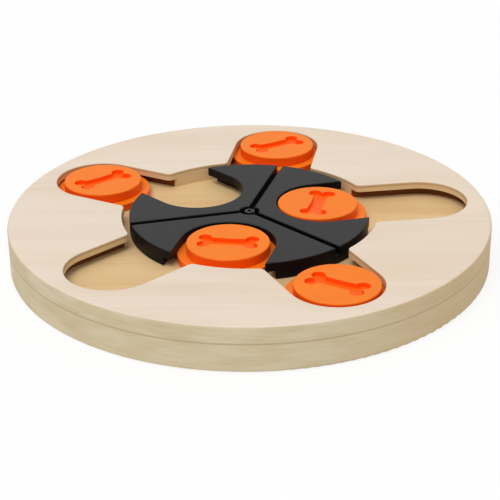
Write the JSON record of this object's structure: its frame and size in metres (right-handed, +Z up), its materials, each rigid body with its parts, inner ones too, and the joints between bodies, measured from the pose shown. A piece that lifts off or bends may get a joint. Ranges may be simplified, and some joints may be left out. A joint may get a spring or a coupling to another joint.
{
  "type": "dog puzzle feeder toy",
  "caption": "Round wooden puzzle feeder for a dog: a turning black rotor carries orange sliders between undercut food pockets.",
  "frame": {"origin": "middle of the board, on the ground under its feet", "axes": "+Z up along the rotor's axis; +X to the right and +Y to the back as the object is pictured"},
  "size_m": [0.29, 0.29, 0.0285],
  "materials": {
    "upper_wood": "sanded pale veneer, clear matt lacquer",
    "lower_wood": "sanded, warmer core showing on the pocket floors",
    "black_plastic": "moulded, fine matt texture",
    "orange_plastic": "moulded, satin gloss",
    "dark_steel": "blackened",
    "steel": "zinc plated",
    "bush": "natural nylon",
    "rubber": "matt"
  },
  "bodies": {
    "board": {"lower_board": "lower_wood", "upper_board": "upper_wood", "joining_screws": "steel", "rubber_feet": "rubber", "axle_nut": "steel", "axle_screw": "dark_steel", "axle_bush": "bush", "axle_washer": "dark_steel", "glide_washer": "bush"},
    "rotor": {"rotor_carrier": "black_plastic", "rotor_segment_right": "black_plastic", "rotor_segment_left": "black_plastic", "rotor_segment_front": "black_plastic", "segment_screws": "steel"},
    "left_slider": {"left_slider_base": "orange_plastic"},
    "left_cap": {"left_slider_cap": "orange_plastic"},
    "back_slider": {"back_slider_base": "orange_plastic"},
    "back_cap": {"back_slider_cap": "orange_plastic"},
    "front_slider": {"front_slider_base": "orange_plastic"},
    "front_cap": {"front_slider_cap": "orange_plastic"},
    "rotor_right_slider": {"rotor_right_slider_base": "orange_plastic"},
    "rotor_right_cap": {"rotor_right_slider_cap": "orange_plastic"},
    "rotor_front_slider": {"rotor_front_slider_base": "orange_plastic"},
    "rotor_front_cap": {"rotor_front_slider_cap": "orange_plastic"}
  },
  "joints": [
    {"name": "rotor_turn", "type": "hinge", "parent": "board", "child": "rotor", "pos_m": [0, 0, 0.0176], "axis": [0, 0, 1], "continuous": true},
    {"name": "left_slide", "type": "slide", "parent": "board", "child": "left_slider", "axis": [-0.8829, 0.4695, 0], "range_m": [-0.0024, 0.0045]},
    {"name": "left_spin", "type": "hinge", "parent": "left_slider", "child": "left_cap", "pos_m": [-0.09271, 0.04929, 0.0176], "axis": [0, 0, 1], "continuous": true},
    {"name": "back_slide", "type": "slide", "parent": "board", "child": "back_slider", "axis": [0.1736, 0.9848, 0], "range_m": [-0.0053, 0.0016]},
    {"name": "back_spin", "type": "hinge", "parent": "back_slider", "child": "back_cap", "pos_m": [0.01874, 0.10626, 0.0176], "axis": [0, 0, 1], "continuous": true},
    {"name": "front_slide", "type": "slide", "parent": "board", "child": "front_slider", "axis": [0.4384, -0.8988, 0], "range_m": [-0.0061, 0.0008]},
    {"name": "front_spin", "type": "hinge", "parent": "front_slider", "child": "front_cap", "pos_m": [0.04765, -0.0977, 0.0176], "axis": [0, 0, 1], "continuous": true},
    {"name": "rotor_right_slide", "type": "slide", "parent": "rotor", "child": "rotor_right_slider", "axis": [0.9703, 0.2419, 0], "range_m": [-0.0002, 0.0038]},
    {"name": "rotor_right_spin", "type": "hinge", "parent": "rotor_right_slider", "child": "rotor_right_cap", "pos_m": [0.04172, 0.0104, 0.0176], "axis": [0, 0, 1], "continuous": true},
    {"name": "rotor_front_slide", "type": "slide", "parent": "rotor", "child": "rotor_front_slider", "axis": [-0.2756, -0.9613, 0], "range_m": [-0.0025, 0.0015]},
    {"name": "rotor_front_spin", "type": "hinge", "parent": "rotor_front_slider", "child": "rotor_front_cap", "pos_m": [-0.01249, -0.04355, 0.0176], "axis": [0, 0, 1], "continuous": true}
  ]
}
